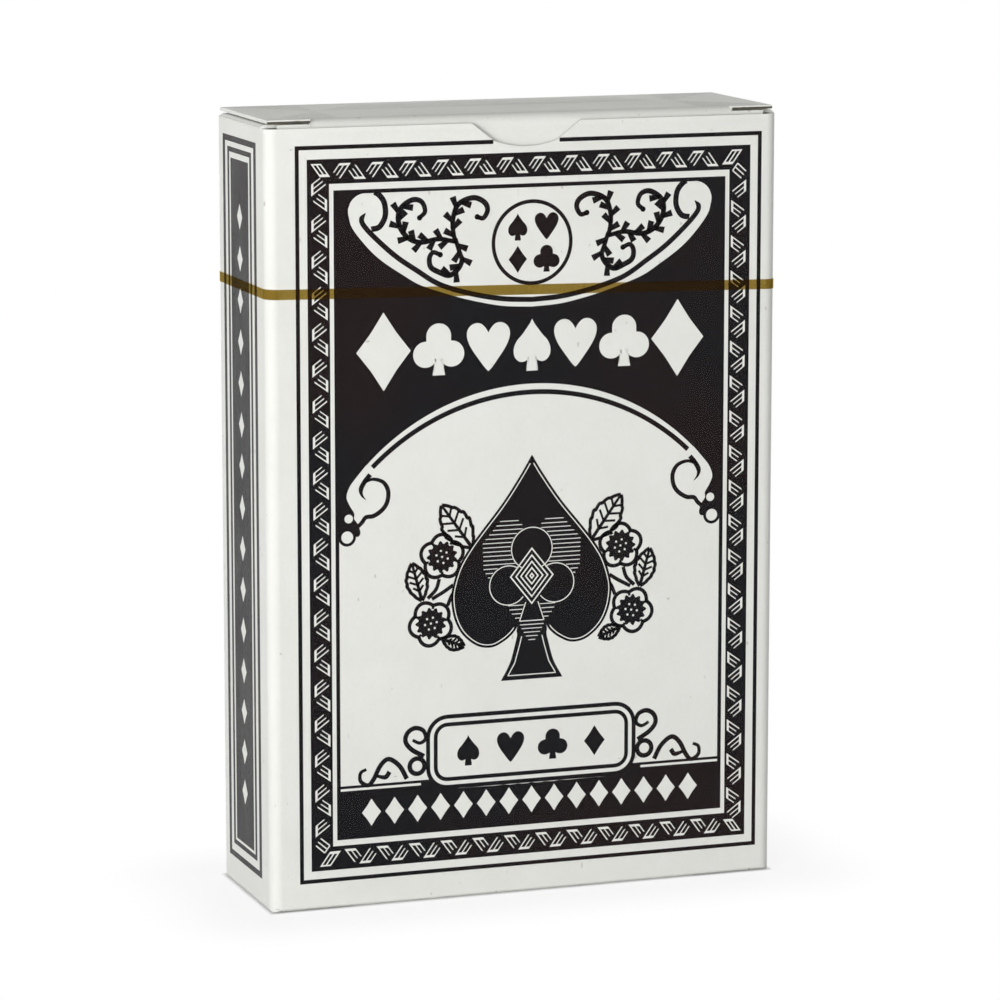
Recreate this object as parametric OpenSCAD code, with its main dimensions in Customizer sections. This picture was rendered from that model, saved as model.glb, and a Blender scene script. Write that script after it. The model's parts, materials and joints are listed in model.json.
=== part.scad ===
// Playing card deck: a folded tuck carton, wrapped in clear film with a tear tape, around a full pack of cards.
// Width runs along X, the front panel faces -Y, and the part stands on the plane z = 0.

/* [Cards] */
// Width of one card
card_w = 59; // [50:0.5:70]
// Height of one card
card_h = 88; // [75:0.5:100]
// Thickness of one card
card_t = 0.32; // [0.26:0.01:0.4]
// Air left between neighbouring cards
card_gap = 0.01; // [0.005:0.005:0.03]
// Corner radius of a card
card_r = 3; // [1:0.25:6]
// Number of jokers at the front of the pack
joker_count = 2; // [1:1:4]

/* [Carton] */
// Thickness of the carton board
board_t = 0.4; // [0.3:0.05:0.6]
// Outside radius of the four upright folds
corner_r = 1.3; // [0.8:0.05:1.5]
// Room between the pack and each side panel
side_clear = 1.05; // [0.8:0.05:2]
// Room before and behind the pack
face_clear = 0.2; // [0.1:0.05:1]
// Room between the pack and the dust flaps over it
head_clear = 0.75; // [0.7:0.05:3]
// Room between the lid and the dust flaps under it
flap_gap = 0.15; // [0.05:0.05:0.5]
// Radius of the bead that a score leaves along a hinged fold
crease_r = 0.15; // [0.1:0.01:0.2]
// Running room round a score bead
crease_clear = 0.02; // [0.01:0.01:0.04]

/* [Thumb notch] */
// Width of the thumb notch at the rim
notch_w = 13.2; // [10:0.2:24]
// Depth of the thumb notch below the rim
notch_h = 2.8; // [2.4:0.1:4]
// Width of the straight slope at each end of the notch
notch_slope_w = 2.75; // [1:0.25:4]
// Height of the straight slope at each end of the notch
notch_slope_h = 2.1; // [1:0.1:2.2]

/* [Flaps] */
// Length of the tuck flap below the lid
tuck_len = 17; // [10:0.5:30]
// Radius of the tuck flap's lower corners
tuck_r = 7; // [3:0.5:9]
// Room between the tuck flap and the front panel
tuck_clear = 0.25; // [0.05:0.05:0.5]
// Room between the tuck flap and each upright fold
tuck_side_clear = 0.3; // [0.2:0.1:1.5]
// Outside radius of the soft fold between the lid and the tuck flap
front_fold_r = 1.2; // [0.8:0.1:1.3]
// Distance that each end of the lid stands back from the side panel
lid_inset = 0.45; // [0.2:0.05:0.8]
// Length of the slit lock cut into each end of the front fold
slit_len = 5; // [3:0.5:9]
// Height of the slit lock's opening
slit_gap = 0.15; // [0.1:0.05:0.3]
// Radius of the curl at the slit lock's inner end
slit_hook_r = 2.2; // [1:0.1:2.8]
// Length of each dust flap
dust_len = 15; // [8:0.5:18]
// Taper of the dust flap's back edge, in degrees
dust_taper = 26; // [26:1:30]
// Room before and behind a dust flap
dust_clear = 0.3; // [0.2:0.05:0.6]
// Depth of the inner bottom flap
inner_flap_len = 14; // [8:0.5:16]
// Width of the glue flap on the right side panel
glue_w = 12; // [6:0.5:15]
// Gap that the glue flap leaves under the dust flap
glue_drop = 4; // [1:0.5:10]

/* [Film] */
// Thickness of the clear film
film_t = 0.05; // [0.03:0.01:0.08]
// Gap between the film's upper edge and the rim of the carton
film_drop = 0.5; // [0.4:0.05:2]
// Width of the tear tape
tape_w = 1.15; // [1:0.05:3]
// Thickness of the tear tape
tape_t = 0.04; // [0.03:0.01:0.08]
// Distance from the rim of the carton down to the tear tape's middle
tape_drop = 19.2; // [16:0.2:50]
// Slant of the tear tape, falling to the right of the front, in degrees
tape_slant = 1.2; // [0:0.1:3]
// Length of the loose end of the tear tape
tab_len = 6; // [3:0.5:12]
// Distance from the middle of the back panel to the loose end's fold
tab_x = 12; // [-15:1:15]
// Room at both ends of the loose end
tab_clear = 0.05; // [0.05:0.05:0.3]

/* [Hidden] */
$fn = 48;
// Distance by which a cut runs past the surface that it leaves
cut_over = board_t;

SUITS = ["spades", "hearts", "clubs", "diamonds"];
PIPS = ["ace", "two", "three", "four", "five", "six", "seven", "eight", "nine", "ten"];
COURTS = ["jack", "queen", "king"];
suit_count = len(PIPS) + len(COURTS);
card_count = joker_count + len(SUITS) * suit_count;
card_pitch = card_t + card_gap;

function pip_node(s, p) = str(SUITS[s], "_", PIPS[p]);
function court_node(s) = str(SUITS[s], "_court");

// Widths: the carton goes round the pack
inner_w = card_w + 2 * side_clear;
carton_w = inner_w + 2 * board_t;
side_x = carton_w / 2;
fold_x = side_x - corner_r;
lid_x = side_x - lid_inset;

// Depths, from the front panel to the back panel
deck_d = card_count * card_pitch - card_gap;
inner_d = tuck_clear + board_t + face_clear + deck_d + face_clear;
carton_d = inner_d + 2 * board_t;
back_y = carton_d / 2;
front_y = -back_y;
tuck_y = front_y + board_t + tuck_clear;
tuck_back_y = tuck_y + board_t;
deck_y = tuck_back_y + face_clear;
lid_front_y = tuck_y + front_fold_r;
dust_front_y = front_y + corner_r + dust_clear;
dust_back_y = back_y - corner_r - dust_clear;
film_back_y = back_y + film_t;

// Heights, from the base up
base_z = film_t;
sleeve_z = base_z + board_t;
bottom_dust_z = sleeve_z + board_t;
deck_z = bottom_dust_z + board_t;
rim_z = deck_z + card_h + head_clear;
lid_z = rim_z + board_t + flap_gap;
top_z = lid_z + board_t;
tuck_top_z = top_z - front_fold_r;
film_rim_z = rim_z - film_drop;
tape_z = rim_z - tape_drop;

// Round floor of the thumb notch: half its width, its sag and its radius
notch_floor_x = notch_w / 2 - notch_slope_w;
notch_sag = notch_h - notch_slope_h;
notch_r = (pow(notch_floor_x, 2) + pow(notch_sag, 2)) / (2 * notch_sag);

board_white = [0.90, 0.90, 0.88];
board_grey = [0.80, 0.80, 0.77];
film_clear = [0.85, 0.90, 0.95, 0.25];
tape_gold = [0.62, 0.52, 0.12];
card_white = [0.96, 0.96, 0.94];

// Rectangle with round corners, centred on the origin
module rounded_rect(w, h, r) {
    square([w - 2 * r, h], center = true);
    square([w, h - 2 * r], center = true);
    for (x = [-1, 1])
        for (y = [-1, 1])
            translate([x * (w / 2 - r), y * (h / 2 - r)])
                circle(r);
}

// Upright four-sided tube, given by its outside
module upright_tube(w, d, r, wall, z_low, z_high) {
    translate([0, 0, z_low])
        linear_extrude(z_high - z_low)
            difference() {
                rounded_rect(w, d, r);
                rounded_rect(w - 2 * wall, d - 2 * wall, r - wall);
            }
}

// Rod along +X from the origin
module rod_x(length, r) {
    rotate([0, 90, 0])
        cylinder(r = r, h = length);
}

// Quarter of a rod along +X, in the quadrant of +Y and +Z: the outside of a fold
module fold_x_bar(length, r) {
    intersection() {
        rod_x(length, r);
        cube([length, r, r]);
    }
}

// Score bead along the lid's fold, widened by the given room
module lid_bead(room) {
    translate([-fold_x - room, back_y, lid_z])
        rod_x(2 * (fold_x + room), crease_r + room);
}

// Score bead along the left dust flap's fold, widened by the given room
module dust_bead(room) {
    translate([-side_x, dust_front_y - room, rim_z])
        rotate([0, 0, 90])
            rod_x(dust_back_y - dust_front_y + 2 * room, crease_r + room);
}

// Dust flap lying along +X from its fold, with a slanted back edge
module dust_blade(start_x, length) {
    linear_extrude(board_t)
        polygon([
            [start_x, dust_front_y],
            [length, dust_front_y],
            [length, dust_back_y - length * tan(dust_taper)],
            [start_x, dust_back_y - start_x * tan(dust_taper)]
        ]);
}

// Outline of the thumb notch, with the rim at y = 0
module notch_outline() {
    polygon([
        [-notch_w / 2, 0],
        [-notch_floor_x, -notch_slope_h],
        [notch_floor_x, -notch_slope_h],
        [notch_w / 2, 0]
    ]);
    intersection() {
        translate([0, notch_r - notch_h])
            circle(notch_r);
        translate([-notch_floor_x, -notch_h])
            square([2 * notch_floor_x, notch_sag]);
    }
}

// Curved cut at the inner end of the slit lock, seen from above at the lid's left end
module slit_hook() {
    translate([slit_len - lid_x - slit_hook_r, tuck_y + slit_hook_r - slit_gap])
        intersection() {
            difference() {
                circle(slit_hook_r);
                circle(slit_hook_r - slit_gap);
            }
            translate([0, -slit_hook_r])
                square(slit_hook_r);
        }
}

module carton_sleeve() {
    color(board_white)
        difference() {
            union() {
                upright_tube(carton_w, carton_d, corner_r, board_t, sleeve_z, rim_z);
                translate([-fold_x, back_y - board_t, rim_z - board_t])
                    cube([2 * fold_x, board_t, lid_z - rim_z + board_t]);
            }
            translate([0, front_y + board_t + cut_over, rim_z])
                rotate([90, 0, 0])
                    linear_extrude(board_t + 2 * cut_over)
                        notch_outline();
            lid_bead(crease_clear);
            dust_bead(crease_clear);
            mirror([1, 0, 0])
                dust_bead(crease_clear);
        }
}

module glue_flap() {
    color(board_grey)
        translate([inner_w / 2 - board_t, back_y - corner_r - glue_w, deck_z])
            cube([board_t, glue_w, rim_z - glue_drop - deck_z]);
}

// Section of a board with rounded lower edges, standing on y = 0
module folded_section(w, t) {
    translate([t - w / 2, 0])
        square([w - 2 * t, t]);
    for (x = [-1, 1])
        translate([x * (w / 2 - t), t])
            circle(t);
}

module bottom_outer_flap() {
    color(board_white)
        translate([0, 0, base_z])
            intersection() {
                linear_extrude(board_t)
                    rounded_rect(carton_w, carton_d, corner_r);
                translate([0, back_y, 0])
                    rotate([90, 0, 0])
                        linear_extrude(carton_d)
                            folded_section(carton_w, board_t);
                translate([-side_x, 0, 0])
                    rotate([90, 0, 90])
                        linear_extrude(carton_w)
                            folded_section(carton_d, board_t);
            }
}

module bottom_inner_flap() {
    color(board_grey)
        translate([dust_clear - fold_x, front_y + board_t, sleeve_z])
            cube([2 * (fold_x - dust_clear), inner_flap_len, board_t]);
}

module bottom_dust_left() {
    color(board_grey)
        translate([-inner_w / 2, 0, bottom_dust_z])
            dust_blade(0, dust_len);
}

module bottom_dust_right() {
    color(board_grey)
        mirror([1, 0, 0])
            translate([-inner_w / 2, 0, bottom_dust_z])
                dust_blade(0, dust_len);
}

// Dust flap of the left side, with its fold and its score bead
module top_dust() {
    translate([-side_x, 0, rim_z])
        dust_blade(board_t, dust_len);
    translate([-side_x + board_t, dust_front_y, rim_z])
        rotate([0, 0, 90])
            fold_x_bar(dust_back_y - dust_front_y - board_t * tan(dust_taper), board_t);
    dust_bead(0);
}

module top_dust_left() {
    color(board_grey)
        top_dust();
}

module top_dust_right() {
    color(board_grey)
        mirror([1, 0, 0])
            top_dust();
}

module lid_panel() {
    fold_half = lid_x - slit_len;
    color(board_white)
        difference() {
            union() {
                translate([-lid_x, lid_front_y, lid_z])
                    cube([2 * lid_x, back_y - board_t - lid_front_y, board_t]);
                translate([-lid_x, back_y - board_t, lid_z])
                    fold_x_bar(2 * lid_x, board_t);
                translate([-fold_half, lid_front_y, tuck_top_z])
                    mirror([0, 1, 0])
                        difference() {
                            fold_x_bar(2 * fold_half, front_fold_r);
                            translate([-cut_over, 0, 0])
                                rod_x(2 * (fold_half + cut_over), front_fold_r - board_t);
                        }
                for (x = [-lid_x, fold_half])
                    translate([x, tuck_y, lid_z])
                        cube([slit_len, front_fold_r, board_t]);
                lid_bead(0);
            }
            for (side = [0, 1])
                mirror([side, 0, 0])
                    translate([0, 0, lid_z - cut_over])
                        linear_extrude(board_t + 2 * cut_over)
                            slit_hook();
        }
}

module tuck_flap() {
    tuck_half = fold_x - tuck_side_clear;
    fold_half = lid_x - slit_len;
    shoulder_h = lid_z - slit_gap - tuck_top_z;
    color(board_white)
        translate([0, tuck_back_y, tuck_top_z])
            rotate([90, 0, 0])
                linear_extrude(board_t) {
                    for (x = [-tuck_half, fold_half])
                        translate([x, -tuck_r])
                            square([tuck_half - fold_half, tuck_r + shoulder_h]);
                    translate([-tuck_half, tuck_r - tuck_len])
                        square([2 * tuck_half, tuck_len - tuck_r]);
                    translate([tuck_r - tuck_half, -tuck_len])
                        square([2 * (tuck_half - tuck_r), tuck_len - tuck_r]);
                    for (x = [-1, 1])
                        translate([x * (tuck_half - tuck_r), tuck_r - tuck_len])
                            circle(tuck_r);
                }
}

module film_wrap() {
    color(film_clear)
        upright_tube(
            carton_w + 2 * film_t, carton_d + 2 * film_t, corner_r + film_t,
            film_t, base_z, film_rim_z
        );
}

module film_base() {
    color(film_clear)
        linear_extrude(film_t)
            rounded_rect(carton_w + 2 * film_t, carton_d + 2 * film_t, corner_r + film_t);
}

module film_top() {
    color(film_clear)
        translate([-lid_x, lid_front_y, top_z])
            cube([2 * lid_x, back_y - board_t - lid_front_y, film_t]);
}

// Moves a shape drawn round the tape's middle at the given x onto the slanted tape
module on_tape(x) {
    translate([x, 0, tape_z - x * tan(tape_slant)])
        rotate([0, tape_slant, 0])
            children();
}

module tear_tape() {
    skin = film_t + tape_t;
    reach = tape_w + carton_w * tan(tape_slant);
    color(tape_gold)
        difference() {
            intersection() {
                upright_tube(
                    carton_w + 2 * skin, carton_d + 2 * skin, corner_r + skin,
                    tape_t, tape_z - reach, tape_z + reach
                );
                on_tape(0)
                    cube([2 * carton_w, 2 * carton_d, tape_w], center = true);
            }
            on_tape(tab_x)
                translate([-tape_t - tab_clear, film_back_y - cut_over, -tape_w])
                    cube([tab_len + tape_t + 2 * tab_clear, 2 * cut_over, 2 * tape_w]);
        }
}

module tear_tab() {
    color(tape_gold)
        on_tape(tab_x)
            translate([0, film_back_y, -tape_w / 2]) {
                cube([tab_len, tape_t, tape_w]);
                translate([0, tape_t, 0])
                    cylinder(r = tape_t, h = tape_w);
            }
}

// One card standing in the pack, counted from the front
module card(index) {
    color(card_white)
        translate([0, deck_y + index * card_pitch + card_t, deck_z + card_h / 2])
            rotate([90, 0, 0])
                linear_extrude(card_t)
                    rounded_rect(card_w, card_h, card_r);
}

module jokers() {
    for (index = [0 : joker_count - 1])
        card(index);
}

module pip_card(s, p) {
    card(joker_count + s * suit_count + p);
}

module court_cards(s) {
    for (c = [0 : len(COURTS) - 1])
        card(joker_count + s * suit_count + len(PIPS) + c);
}

carton_sleeve();
glue_flap();
bottom_outer_flap();
bottom_inner_flap();
bottom_dust_left();
bottom_dust_right();
top_dust_left();
top_dust_right();
lid_panel();
tuck_flap();
film_wrap();
film_base();
film_top();
tear_tape();
tear_tab();
jokers();
for (s = [0 : len(SUITS) - 1]) {
    for (p = [0 : len(PIPS) - 1])
        pip_card(s, p);
    court_cards(s);
}
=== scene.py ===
# %% [markdown]
# # A wrapped pack of playing cards
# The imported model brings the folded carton, its flaps, the film, the tear tape and the cards as fixed
# solids. This lesson dresses them: it sets the camera and the light, gives every solid a finish made of
# nodes, lays the printed ornament on the board as very thin plates of ink, and hangs a thin clear film over
# it all.

# %% Load the frame and keep its size
import json
import math

import bpy
import numpy as np
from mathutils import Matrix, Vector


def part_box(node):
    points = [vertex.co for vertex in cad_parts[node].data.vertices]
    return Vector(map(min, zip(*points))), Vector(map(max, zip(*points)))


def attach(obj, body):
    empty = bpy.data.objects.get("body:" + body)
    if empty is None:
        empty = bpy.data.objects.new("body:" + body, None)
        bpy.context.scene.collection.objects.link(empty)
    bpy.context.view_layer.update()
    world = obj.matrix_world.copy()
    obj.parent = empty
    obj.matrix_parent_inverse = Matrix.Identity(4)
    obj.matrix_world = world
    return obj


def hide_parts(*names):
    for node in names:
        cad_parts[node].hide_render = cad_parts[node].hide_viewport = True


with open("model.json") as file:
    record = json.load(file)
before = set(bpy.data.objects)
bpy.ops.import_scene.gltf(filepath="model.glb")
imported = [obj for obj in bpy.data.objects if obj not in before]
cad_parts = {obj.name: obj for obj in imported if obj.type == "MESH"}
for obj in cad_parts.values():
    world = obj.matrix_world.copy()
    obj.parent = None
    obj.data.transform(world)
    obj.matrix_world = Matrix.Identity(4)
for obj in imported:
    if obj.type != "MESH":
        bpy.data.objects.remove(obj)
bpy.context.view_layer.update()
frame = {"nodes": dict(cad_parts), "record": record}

MM = 0.001


def box_mm(node):
    """Lowest and highest corner of a solid, in millimetres."""
    return tuple(np.array(corner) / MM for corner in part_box(node))


sleeve_low, sleeve_high = box_mm("carton_sleeve")
film_low, film_high = box_mm("film_wrap")
lid_low, lid_high = box_mm("lid_panel")
side_x, front_y, back_y = sleeve_high[0], sleeve_low[1], -sleeve_low[1]
print("carton", np.round(2 * np.array([side_x, back_y]), 2), "mm, lid top at", round(lid_high[2], 2))

# %% [markdown]
# The photograph looks slightly down on the pack from the front left, through a long lens, so that upright
# edges stay almost parallel. A camera can be placed by hand, but two angles, a distance and a target repeat
# the view exactly, so the place is worked out from those.

# %% Camera
CAMERA_AZIMUTH = math.radians(-19.587)
CAMERA_ELEVATION = math.radians(9.821)
CAMERA_DISTANCE = 541.54
CAMERA_TARGET = np.array([0.298, 0.0, 44.758])
CAMERA_LENS = 166.296
SENSOR_WIDTH = 36.0


def heading(azimuth, elevation):
    """Unit vector from the target: azimuth turns from the front to the right, elevation lifts it."""
    flat = math.cos(elevation)
    return np.array([math.sin(azimuth) * flat, -math.cos(azimuth) * flat, math.sin(elevation)])


def aim(thing, place, target):
    """Puts a camera or a lamp at a place, in millimetres, and turns its -Z axis to the target."""
    eye = np.array(place) * MM
    thing.location = eye
    from_target = Vector(eye - np.array(target) * MM)
    thing.rotation_euler = from_target.to_track_quat("Z", "Y").to_euler()


camera_data = bpy.data.cameras.new("photo_camera")
camera_data.lens, camera_data.sensor_width = CAMERA_LENS, SENSOR_WIDTH
camera = bpy.data.objects.new("photo_camera", camera_data)
bpy.context.collection.objects.link(camera)
aim(camera, CAMERA_TARGET + CAMERA_DISTANCE * heading(CAMERA_AZIMUTH, CAMERA_ELEVATION), CAMERA_TARGET)
bpy.context.scene.camera = camera
print("camera at", np.round(camera.location, 4))

# %% [markdown]
# The pack stands on white paper before a large soft lamp at the front left, a weak fill from the front and
# one for the back. Point lamps would cast hard shadows, so area lamps are used, which also give the broad
# highlight on the upright fold. The world lights the shadows gently, but a ray from the camera, or one
# mirrored by the film, sees pure white, as on the white sweep of a studio.

# %% Lamps and world
KEY_WATTS, KEY_SIZE, KEY_DISTANCE = 2.38, 300, 520
KEY_AZIMUTH, KEY_ELEVATION = math.radians(-47), math.radians(6)
FILL_WATTS, FILL_SIZE, FILL_DISTANCE = 1.65, 500, 900
FILL_AZIMUTH, FILL_ELEVATION = math.radians(-5), math.radians(4)
BACK_WATTS, BACK_SIZE, BACK_DISTANCE = 4.0, 500, 900
BACK_AZIMUTH, BACK_ELEVATION = math.radians(150), math.radians(18)
WORLD_LIGHT = 0.24
PURE_WHITE = (1, 1, 1, 1)


def soft_lamp(name, watts, size, azimuth, elevation, distance):
    """Square area lamp that looks at the middle of the pack and leaves no glare on the film."""
    data = bpy.data.lights.new(name, "AREA")
    data.energy, data.size = watts, size * MM
    lamp = bpy.data.objects.new(name, data)
    bpy.context.collection.objects.link(lamp)
    lamp.visible_glossy = False
    aim(lamp, CAMERA_TARGET + distance * heading(azimuth, elevation), CAMERA_TARGET)


def add_node(tree, kind, settings=None, **inputs):
    """Adds a node. An input is given by its name with _ for a space, or by i and its number; a socket given
    as the value is linked, and any other value is set."""
    made = tree.nodes.new(kind)
    for key, value in (settings or {}).items():
        setattr(made, key, value)
    for key, value in inputs.items():
        numbered = key[0] == "i" and key[1:].isdigit()
        socket = made.inputs[int(key[1:]) if numbered else key.replace("_", " ")]
        if isinstance(value, bpy.types.NodeSocket):
            tree.links.new(value, socket)
        else:
            socket.default_value = value
    return made


def math_node(tree, operation, first, second=0.0):
    """One sum, product or other operation on two numbers, as a socket."""
    return add_node(tree, "ShaderNodeMath", {"operation": operation}, i0=first, i1=second).outputs[0]


def seen_directly(tree):
    """1 for a ray from the camera or one mirrored or passed on by the film, and 0 for a ray of light."""
    path = add_node(tree, "ShaderNodeLightPath").outputs
    camera_or_mirror = math_node(tree, "MAXIMUM", path["Is Camera Ray"], path["Is Glossy Ray"])
    return math_node(tree, "MAXIMUM", camera_or_mirror, path["Is Transmission Ray"])


soft_lamp("key_lamp", KEY_WATTS, KEY_SIZE, KEY_AZIMUTH, KEY_ELEVATION, KEY_DISTANCE)
soft_lamp("fill_lamp", FILL_WATTS, FILL_SIZE, FILL_AZIMUTH, FILL_ELEVATION, FILL_DISTANCE)
soft_lamp("back_lamp", BACK_WATTS, BACK_SIZE, BACK_AZIMUTH, BACK_ELEVATION, BACK_DISTANCE)
world = bpy.data.worlds.new("white_sweep")
world.use_nodes = True
bpy.context.scene.world = world
sky = world.node_tree
sky_strength = add_node(sky, "ShaderNodeMapRange", Value=seen_directly(sky), To_Min=WORLD_LIGHT, To_Max=1.0)
sky.links.new(sky_strength.outputs[0], sky.nodes["Background"].inputs["Strength"])
sky.nodes["Background"].inputs["Color"].default_value = PURE_WHITE
bpy.context.scene.view_settings.view_transform = "Standard"
print("lamps and world set")

# %% [markdown]
# The floor is a sheet of white paper. Close to the pack it takes the soft shadow, and further away it fades
# into the white of the sweep. Where the carton touches it, a thin dark line of painted shade follows the
# foot. The fade could be painted as an image, but the distance from the carton's foot gives it directly and
# keeps it where the pack stands.

# %% Floor
FLOOR_HALF = 3000
FLOOR_DROP = 0.05
SHADOW_SHARE = 0.16
SHADOW_REACH = 16
CONTACT_SHADE_SHARE = 0.6
CONTACT_SHADE_REACH = 0.4
PAPER_WHITE = (0.93, 0.93, 0.93, 1)


def add_mesh(name, points, quads, material):
    """Makes a piece from points in millimetres and four corner numbers for each face."""
    mesh = bpy.data.meshes.new(name)
    mesh.from_pydata((np.asarray(points) * MM).tolist(), [], np.asarray(quads).tolist())
    mesh.materials.append(material)
    piece = bpy.data.objects.new(name, mesh)
    bpy.context.collection.objects.link(piece)
    return piece


def new_material(name):
    """Empty node material with its tree and its output."""
    material = bpy.data.materials.new(name)
    material.use_nodes = True
    tree = material.node_tree
    tree.nodes.clear()
    return material, tree, add_node(tree, "ShaderNodeOutputMaterial")


def object_place(tree):
    """The solid's own coordinates, in metres."""
    return add_node(tree, "ShaderNodeTexCoord").outputs["Object"]


def split(tree, vector):
    """The x, y and z of a vector, as sockets."""
    return add_node(tree, "ShaderNodeSeparateXYZ", Vector=vector).outputs


def product(tree, first, *others):
    """Product of several numbers, as a socket."""
    for other in others:
        first = math_node(tree, "MULTIPLY", first, other)
    return first


def past(tree, axis, limit):
    """How far a coordinate lies outside plus or minus a limit in millimetres, and 0 inside it."""
    from_middle = math_node(tree, "ABSOLUTE", axis)
    return math_node(tree, "MAXIMUM", math_node(tree, "SUBTRACT", from_middle, limit * MM))


floor_paper, tree, output = new_material("floor_paper")
axes = split(tree, object_place(tree))
over_x, over_y = past(tree, axes[0], side_x), past(tree, axes[1], back_y)
square = math_node(tree, "ADD", product(tree, over_x, over_x), product(tree, over_y, over_y))
away = math_node(tree, "SQRT", square)
fade = add_node(tree, "ShaderNodeMapRange", {"interpolation_type": "SMOOTHSTEP"}, Value=away,
                From_Max=SHADOW_REACH * MM, To_Min=1 - SHADOW_SHARE, To_Max=1.0)
# painted shade: within a fraction of a millimetre of the foot the paper shows darker
painted_contact_shade = add_node(tree, "ShaderNodeMapRange", Value=away, From_Max=CONTACT_SHADE_REACH * MM,
                   To_Min=1 - CONTACT_SHADE_SHARE, To_Max=1.0)
white_share = product(tree, fade.outputs[0], painted_contact_shade.outputs[0], seen_directly(tree))
paper = add_node(tree, "ShaderNodeBsdfDiffuse", Color=PAPER_WHITE)
glow = add_node(tree, "ShaderNodeEmission", Color=PURE_WHITE, Strength=1.0)
mixed = add_node(tree, "ShaderNodeMixShader", i0=white_share, i1=paper.outputs[0], i2=glow.outputs[0])
tree.links.new(mixed.outputs[0], output.inputs["Surface"])
floor_corners = np.array([[-1, -1], [1, -1], [1, 1], [-1, 1]]) * FLOOR_HALF
floor = add_mesh("studio_floor", np.c_[floor_corners, np.full(4, -FLOOR_DROP)], [[0, 1, 2, 3]], floor_paper)
print("floor laid")

# %% [markdown]
# The carton is coated white board: slightly warm, with fine fibres, a faint cloudiness and a few specks. An
# image could show that, but noise at three scales in the solid's own coordinates repeats nowhere and needs
# no unwrapping, so neighbouring flaps look cut from one sheet. At both ends of the lid's front fold, the
# cut face under a pale lip is painted nearly black by its place on the lid: partly the board's grey core,
# partly painted shade of the open slit.

# %% Coated board
BOARD_LIGHT, BOARD_DARK = (0.80, 0.805, 0.765, 1), (0.76, 0.765, 0.72, 1)
SPECK_COLOUR = (0.58, 0.56, 0.52, 1)
FIBRE_SCALE, CLOUD_SCALE, SPECK_SCALE = 2600, 160, 1500
FIBRE_DETAIL, CLOUD_DETAIL, SPECK_DETAIL = 4.0, 2.0, 0.0
FIBRE_SHARE, CLOUD_SHARE = 0.45, 0.55
TONE_FROM, TONE_TO, SPECK_FROM, SPECK_TO = 0.35, 0.65, 0.83, 0.87
BOARD_ROUGH, BOARD_SPECULAR, BOARD_BUMP, BUMP_STRENGTH = 0.5, 0.2, 0.01, 0.3
CORE_AND_SLIT_SHADE = (0.085, 0.08, 0.06, 1)
SLIT_LENGTH, CUT_DEPTH, CUT_LIP, BOARD_THICK = 5.0, 0.25, 0.15, 0.41


def noise(tree, place, scale, detail=CLOUD_DETAIL):
    """Cloudy noise from 0 to 1 with patches of about one over scale metres."""
    made = add_node(tree, "ShaderNodeTexNoise", Vector=place, Scale=scale, Detail=detail)
    return made.outputs[0]


def mix_colour(tree, share, first, second):
    """Blend from the first colour to the second."""
    made = add_node(tree, "ShaderNodeMix", {"data_type": "RGBA"}, i0=share, i6=first, i7=second)
    return made.outputs[2]


def stretch(tree, value, low, high):
    """Spreads the part of a value between low and high over 0 to 1."""
    made = add_node(tree, "ShaderNodeMapRange", Value=value, From_Min=low, From_Max=high)
    return made.outputs[0]


def bump(tree, height, depth, strength=BUMP_STRENGTH):
    """Bumps of the given depth, in millimetres."""
    made = add_node(tree, "ShaderNodeBump", Strength=strength, Distance=depth * MM, Height=height)
    return made.outputs[0]


coated_board, tree, output = new_material("coated_board")
place = object_place(tree)
fibre, cloud = noise(tree, place, FIBRE_SCALE, FIBRE_DETAIL), noise(tree, place, CLOUD_SCALE)
tone = math_node(tree, "ADD", product(tree, fibre, FIBRE_SHARE), product(tree, cloud, CLOUD_SHARE))
sheet_colour = mix_colour(tree, stretch(tree, tone, TONE_FROM, TONE_TO), BOARD_DARK, BOARD_LIGHT)
speck = stretch(tree, noise(tree, place, SPECK_SCALE, SPECK_DETAIL), SPECK_FROM, SPECK_TO)
speckled = mix_colour(tree, speck, sheet_colour, SPECK_COLOUR)
axes = split(tree, place)
from_middle = math_node(tree, "ABSOLUTE", axes[0])
at_end = math_node(tree, "GREATER_THAN", from_middle, (lid_high[0] - SLIT_LENGTH) * MM)
on_lid = math_node(tree, "GREATER_THAN", axes[2], (lid_high[2] - BOARD_THICK) * MM)
under_lip = math_node(tree, "LESS_THAN", axes[2], (lid_high[2] - CUT_LIP) * MM)
at_cut = math_node(tree, "LESS_THAN", axes[1], (lid_low[1] + CUT_DEPTH) * MM)
# painted shade: the slit's cut face is made nearly black, partly the board's grey core
cut = product(tree, at_end, on_lid, under_lip, at_cut)
board_colour = mix_colour(tree, cut, speckled, CORE_AND_SLIT_SHADE)
board = add_node(tree, "ShaderNodeBsdfPrincipled", Base_Color=board_colour, Roughness=BOARD_ROUGH,
                 Specular_IOR_Level=BOARD_SPECULAR, Normal=bump(tree, fibre, BOARD_BUMP))
tree.links.new(board.outputs[0], output.inputs["Surface"])
print("board ready")

# %% [markdown]
# Printing ink on the board is a thin, nearly black coat. One flat black would do from afar, but under the
# film the coat looks slightly uneven and warmer in places, so the colour drifts between a neutral black and
# a maroon black over some twenty millimetres, and a fine grain changes its gloss.

# %% Black ink
INK_COLD, INK_WARM = (0.0062, 0.0060, 0.0072, 1), (0.0105, 0.0060, 0.0062, 1)
INK_DRIFT_SCALE, INK_GRAIN_SCALE, INK_GRAIN_DETAIL = 45, 1900, 3.0
DRIFT_FROM, DRIFT_TO = 0.42, 0.62
INK_SMOOTH, INK_ROUGH, INK_SPECULAR, INK_BUMP = 0.35, 0.55, 0.06, 0.004

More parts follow.
